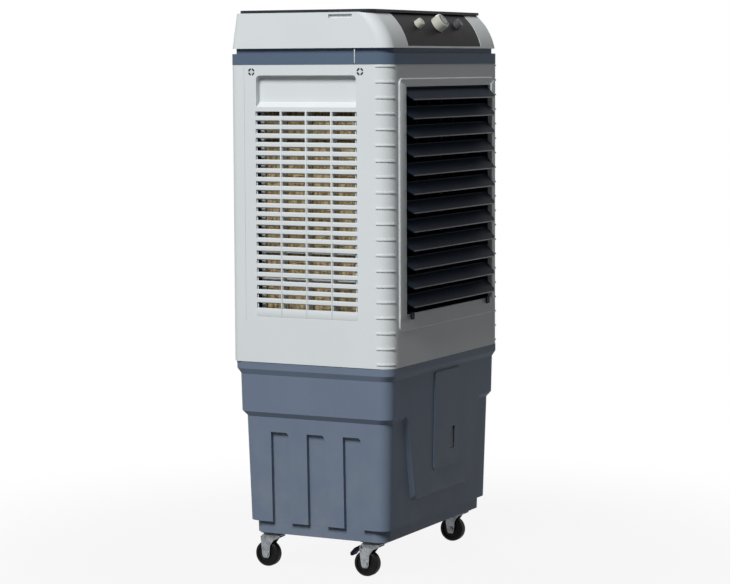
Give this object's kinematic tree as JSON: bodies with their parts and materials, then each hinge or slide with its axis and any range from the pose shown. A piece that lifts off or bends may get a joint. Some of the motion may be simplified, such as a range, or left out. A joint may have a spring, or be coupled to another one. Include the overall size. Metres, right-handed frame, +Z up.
{
  "type": "evaporative air cooler",
  "caption": "Tall evaporative air cooler on casters, with a moulded water tank, grille panels over wet pads, a louvred air outlet, a control band and a hinged top lid.",
  "frame": {"origin": "centre of the bounding box at the floor, under the middle of the cooler", "axes": "+Z up, the front with the air outlet faces -Y, X is the width"},
  "size_m": [0.555, 0.4084, 1.2],
  "materials": {
    "black_plastic": "satin",
    "black_steel": "satin",
    "black_zinc": "satin",
    "caster_tread": "matt",
    "clear_window": "clear",
    "dark_lid": "satin",
    "fan_grey": "satin",
    "grey_shell": "satin",
    "knob_dark": "satin",
    "knob_light": "satin",
    "motor_grey": "satin",
    "pad_fibre": "fibrous",
    "panel_black": "semi-gloss",
    "pipe_grey": "matt",
    "screw_steel": "plain",
    "slate_collar": "satin",
    "slate_tank": "fine grain",
    "tray_white": "matt",
    "zinc": "zinc plated"
  },
  "bodies": {
    "cabinet": {"water_tank": "slate_tank", "level_window": "clear_window", "drain_plug": "black_plastic", "front_shell": "grey_shell", "back_shell": "grey_shell", "cord_gland": "black_plastic", "side_panel_left": "grey_shell", "side_panel_right": "grey_shell", "rear_panel": "grey_shell", "cooling_pads": "pad_fibre", "pad_retainers": "grey_shell", "panel_screws": "screw_steel", "louver_frame": "black_plastic", "swing_motor": "motor_grey", "fan_shroud": "black_plastic", "fan_motor": "motor_grey", "pump": "black_zinc", "riser_pipe": "pipe_grey", "water_tray": "tray_white", "collar": "slate_collar", "hood": "grey_shell", "control_panel": "panel_black", "rotary_switches": "black_plastic", "caster_plates": "black_steel"},
    "lid": {"top_lid": "dark_lid"},
    "fan": {"fan": "fan_grey"},
    "louver_01": {"louver_01": "black_plastic"},
    "louver_02": {"louver_02": "black_plastic"},
    "louver_03": {"louver_03": "black_plastic"},
    "louver_04": {"louver_04": "black_plastic"},
    "louver_05": {"louver_05": "black_plastic"},
    "louver_06": {"louver_06": "black_plastic"},
    "louver_07": {"louver_07": "black_plastic"},
    "louver_08": {"louver_08": "black_plastic"},
    "louver_09": {"louver_09": "black_plastic"},
    "louver_10": {"louver_10": "black_plastic"},
    "louver_11": {"louver_11": "black_plastic"},
    "louver_12": {"louver_12": "black_plastic"},
    "louver_link": {"louver_link": "black_plastic"},
    "vane_1": {"vane_1": "black_plastic"},
    "vane_2": {"vane_2": "black_plastic"},
    "vane_3": {"vane_3": "black_plastic"},
    "vane_4": {"vane_4": "black_plastic"},
    "vane_5": {"vane_5": "black_plastic"},
    "vane_6": {"vane_6": "black_plastic"},
    "vane_link": {"vane_link": "black_plastic"},
    "caster_fork_fl": {"caster_fork_fl": "zinc"},
    "caster_wheel_fl": {"caster_wheel_fl": "caster_tread"},
    "brake_lever_fl": {"brake_lever_fl": "black_plastic"},
    "caster_fork_fr": {"caster_fork_fr": "zinc"},
    "caster_wheel_fr": {"caster_wheel_fr": "caster_tread"},
    "brake_lever_fr": {"brake_lever_fr": "black_plastic"},
    "caster_fork_rl": {"caster_fork_rl": "zinc"},
    "caster_wheel_rl": {"caster_wheel_rl": "caster_tread"},
    "caster_fork_rr": {"caster_fork_rr": "zinc"},
    "caster_wheel_rr": {"caster_wheel_rr": "caster_tread"},
    "knob_left": {"knob_left": "knob_light"},
    "knob_centre": {"knob_centre": "knob_light"},
    "knob_right": {"knob_right": "knob_dark"}
  },
  "joints": [
    {"name": "lid_hinge", "type": "hinge", "parent": "cabinet", "child": "lid", "pos_m": [0, 0.1812, 1.1971], "axis": [-1, 0, 0], "range_deg": [0, 95]},
    {"name": "fan_spin", "type": "hinge", "parent": "cabinet", "child": "fan", "pos_m": [0, -0.0783, 0.803], "axis": [0, -1, 0], "continuous": true},
    {"name": "louver_01_tilt", "type": "hinge", "parent": "cabinet", "child": "louver_01", "pos_m": [0, -0.1783, 1.0367], "axis": [1, 0, 0], "range_deg": [-50, 20]},
    {"name": "louver_02_tilt", "type": "hinge", "parent": "cabinet", "child": "louver_02", "pos_m": [0, -0.1783, 0.99726], "axis": [1, 0, 0], "range_deg": [-50, 20]},
    {"name": "louver_03_tilt", "type": "hinge", "parent": "cabinet", "child": "louver_03", "pos_m": [0, -0.1783, 0.95782], "axis": [1, 0, 0], "range_deg": [-50, 20]},
    {"name": "louver_04_tilt", "type": "hinge", "parent": "cabinet", "child": "louver_04", "pos_m": [0, -0.1783, 0.91838], "axis": [1, 0, 0], "range_deg": [-50, 20]},
    {"name": "louver_05_tilt", "type": "hinge", "parent": "cabinet", "child": "louver_05", "pos_m": [0, -0.1783, 0.87894], "axis": [1, 0, 0], "range_deg": [-50, 20]},
    {"name": "louver_06_tilt", "type": "hinge", "parent": "cabinet", "child": "louver_06", "pos_m": [0, -0.1783, 0.8395], "axis": [1, 0, 0], "range_deg": [-50, 20]},
    {"name": "louver_07_tilt", "type": "hinge", "parent": "cabinet", "child": "louver_07", "pos_m": [0, -0.1783, 0.80006], "axis": [1, 0, 0], "range_deg": [-50, 20]},
    {"name": "louver_08_tilt", "type": "hinge", "parent": "cabinet", "child": "louver_08", "pos_m": [0, -0.1783, 0.76062], "axis": [1, 0, 0], "range_deg": [-50, 20]},
    {"name": "louver_09_tilt", "type": "hinge", "parent": "cabinet", "child": "louver_09", "pos_m": [0, -0.1783, 0.72118], "axis": [1, 0, 0], "range_deg": [-50, 20]},
    {"name": "louver_10_tilt", "type": "hinge", "parent": "cabinet", "child": "louver_10", "pos_m": [0, -0.1783, 0.68174], "axis": [1, 0, 0], "range_deg": [-50, 20]},
    {"name": "louver_11_tilt", "type": "hinge", "parent": "cabinet", "child": "louver_11", "pos_m": [0, -0.1783, 0.6423], "axis": [1, 0, 0], "range_deg": [-50, 20]},
    {"name": "louver_12_tilt", "type": "hinge", "parent": "cabinet", "child": "louver_12", "pos_m": [0, -0.1783, 0.60286], "axis": [1, 0, 0], "range_deg": [-50, 20]},
    {"name": "louver_link_pivot", "type": "hinge", "parent": "louver_01", "child": "louver_link", "pos_m": [0, -0.16478, 1.04032], "axis": [1, 0, 0], "range_deg": [-20, 50]},
    {"name": "vane_1_swing", "type": "hinge", "parent": "cabinet", "child": "vane_1", "pos_m": [-0.1525, -0.1333, 0.803], "axis": [0, 0, 1], "range_deg": [-40, 40]},
    {"name": "vane_2_swing", "type": "hinge", "parent": "cabinet", "child": "vane_2", "pos_m": [-0.0915, -0.1333, 0.803], "axis": [0, 0, 1], "range_deg": [-40, 40]},
    {"name": "vane_3_swing", "type": "hinge", "parent": "cabinet", "child": "vane_3", "pos_m": [-0.0305, -0.1333, 0.803], "axis": [0, 0, 1], "range_deg": [-40, 40]},
    {"name": "vane_4_swing", "type": "hinge", "parent": "cabinet", "child": "vane_4", "pos_m": [0.0305, -0.1333, 0.803], "axis": [0, 0, 1], "range_deg": [-40, 40]},
    {"name": "vane_5_swing", "type": "hinge", "parent": "cabinet", "child": "vane_5", "pos_m": [0.0915, -0.1333, 0.803], "axis": [0, 0, 1], "range_deg": [-40, 40]},
    {"name": "vane_6_swing", "type": "hinge", "parent": "cabinet", "child": "vane_6", "pos_m": [0.1525, -0.1333, 0.803], "axis": [0, 0, 1], "range_deg": [-40, 40]},
    {"name": "vane_link_pivot", "type": "hinge", "parent": "vane_1", "child": "vane_link", "pos_m": [-0.1525, -0.1193, 1.043], "axis": [0, 0, 1], "range_deg": [-40, 40]},
    {"name": "caster_swivel_fl", "type": "hinge", "parent": "cabinet", "child": "caster_fork_fl", "pos_m": [-0.213, -0.1113, 0.072], "axis": [0, 0, 1], "continuous": true},
    {"name": "caster_roll_fl", "type": "hinge", "parent": "caster_fork_fl", "child": "caster_wheel_fl", "pos_m": [-0.213, -0.0953, 0.028], "axis": [1, 0, 0], "continuous": true},
    {"name": "brake_press_fl", "type": "hinge", "parent": "caster_fork_fl", "child": "brake_lever_fl", "pos_m": [-0.213, -0.0873, 0.0627], "axis": [-1, 0, 0], "range_deg": [0, 6]},
    {"name": "caster_swivel_fr", "type": "hinge", "parent": "cabinet", "child": "caster_fork_fr", "pos_m": [0.213, -0.1113, 0.072], "axis": [0, 0, 1], "continuous": true},
    {"name": "caster_roll_fr", "type": "hinge", "parent": "caster_fork_fr", "child": "caster_wheel_fr", "pos_m": [0.213, -0.0953, 0.028], "axis": [1, 0, 0], "continuous": true},
    {"name": "brake_press_fr", "type": "hinge", "parent": "caster_fork_fr", "child": "brake_lever_fr", "pos_m": [0.213, -0.0873, 0.0627], "axis": [-1, 0, 0], "range_deg": [0, 6]},
    {"name": "caster_swivel_rl", "type": "hinge", "parent": "cabinet", "child": "caster_fork_rl", "pos_m": [-0.213, 0.1307, 0.072], "axis": [0, 0, 1], "continuous": true},
    {"name": "caster_roll_rl", "type": "hinge", "parent": "caster_fork_rl", "child": "caster_wheel_rl", "pos_m": [-0.213, 0.1467, 0.028], "axis": [1, 0, 0], "continuous": true},
    {"name": "caster_swivel_rr", "type": "hinge", "parent": "cabinet", "child": "caster_fork_rr", "pos_m": [0.213, 0.1307, 0.072], "axis": [0, 0, 1], "continuous": true},
    {"name": "caster_roll_rr", "type": "hinge", "parent": "caster_fork_rr", "child": "caster_wheel_rr", "pos_m": [0.213, 0.1467, 0.028], "axis": [1, 0, 0], "continuous": true},
    {"name": "knob_left_turn", "type": "hinge", "parent": "cabinet", "child": "knob_left", "pos_m": [-0.096, -0.15912, 1.16871], "axis": [0, -0.8094, 0.5872], "range_deg": [-135, 135]},
    {"name": "knob_centre_turn", "type": "hinge", "parent": "cabinet", "child": "knob_centre", "pos_m": [0, -0.15912, 1.16871], "axis": [0, -0.8094, 0.5872], "range_deg": [-135, 135]},
    {"name": "knob_right_turn", "type": "hinge", "parent": "cabinet", "child": "knob_right", "pos_m": [0.096, -0.15912, 1.16871], "axis": [0, -0.8094, 0.5872], "range_deg": [-135, 135]}
  ],
  "couplings": [
    {"joint": "louver_02_tilt", "follows": "louver_01_tilt", "ratio": 1},
    {"joint": "louver_03_tilt", "follows": "louver_01_tilt", "ratio": 1},
    {"joint": "louver_04_tilt", "follows": "louver_01_tilt", "ratio": 1},
    {"joint": "louver_05_tilt", "follows": "louver_01_tilt", "ratio": 1},
    {"joint": "louver_06_tilt", "follows": "louver_01_tilt", "ratio": 1},
    {"joint": "louver_07_tilt", "follows": "louver_01_tilt", "ratio": 1},
    {"joint": "louver_08_tilt", "follows": "louver_01_tilt", "ratio": 1},
    {"joint": "louver_09_tilt", "follows": "louver_01_tilt", "ratio": 1},
    {"joint": "louver_10_tilt", "follows": "louver_01_tilt", "ratio": 1},
    {"joint": "louver_11_tilt", "follows": "louver_01_tilt", "ratio": 1},
    {"joint": "louver_12_tilt", "follows": "louver_01_tilt", "ratio": 1},
    {"joint": "louver_link_pivot", "follows": "louver_01_tilt", "ratio": -1},
    {"joint": "vane_2_swing", "follows": "vane_1_swing", "ratio": 1},
    {"joint": "vane_3_swing", "follows": "vane_1_swing", "ratio": 1},
    {"joint": "vane_4_swing", "follows": "vane_1_swing", "ratio": 1},
    {"joint": "vane_5_swing", "follows": "vane_1_swing", "ratio": 1},
    {"joint": "vane_6_swing", "follows": "vane_1_swing", "ratio": 1},
    {"joint": "vane_link_pivot", "follows": "vane_1_swing", "ratio": -1}
  ]
}
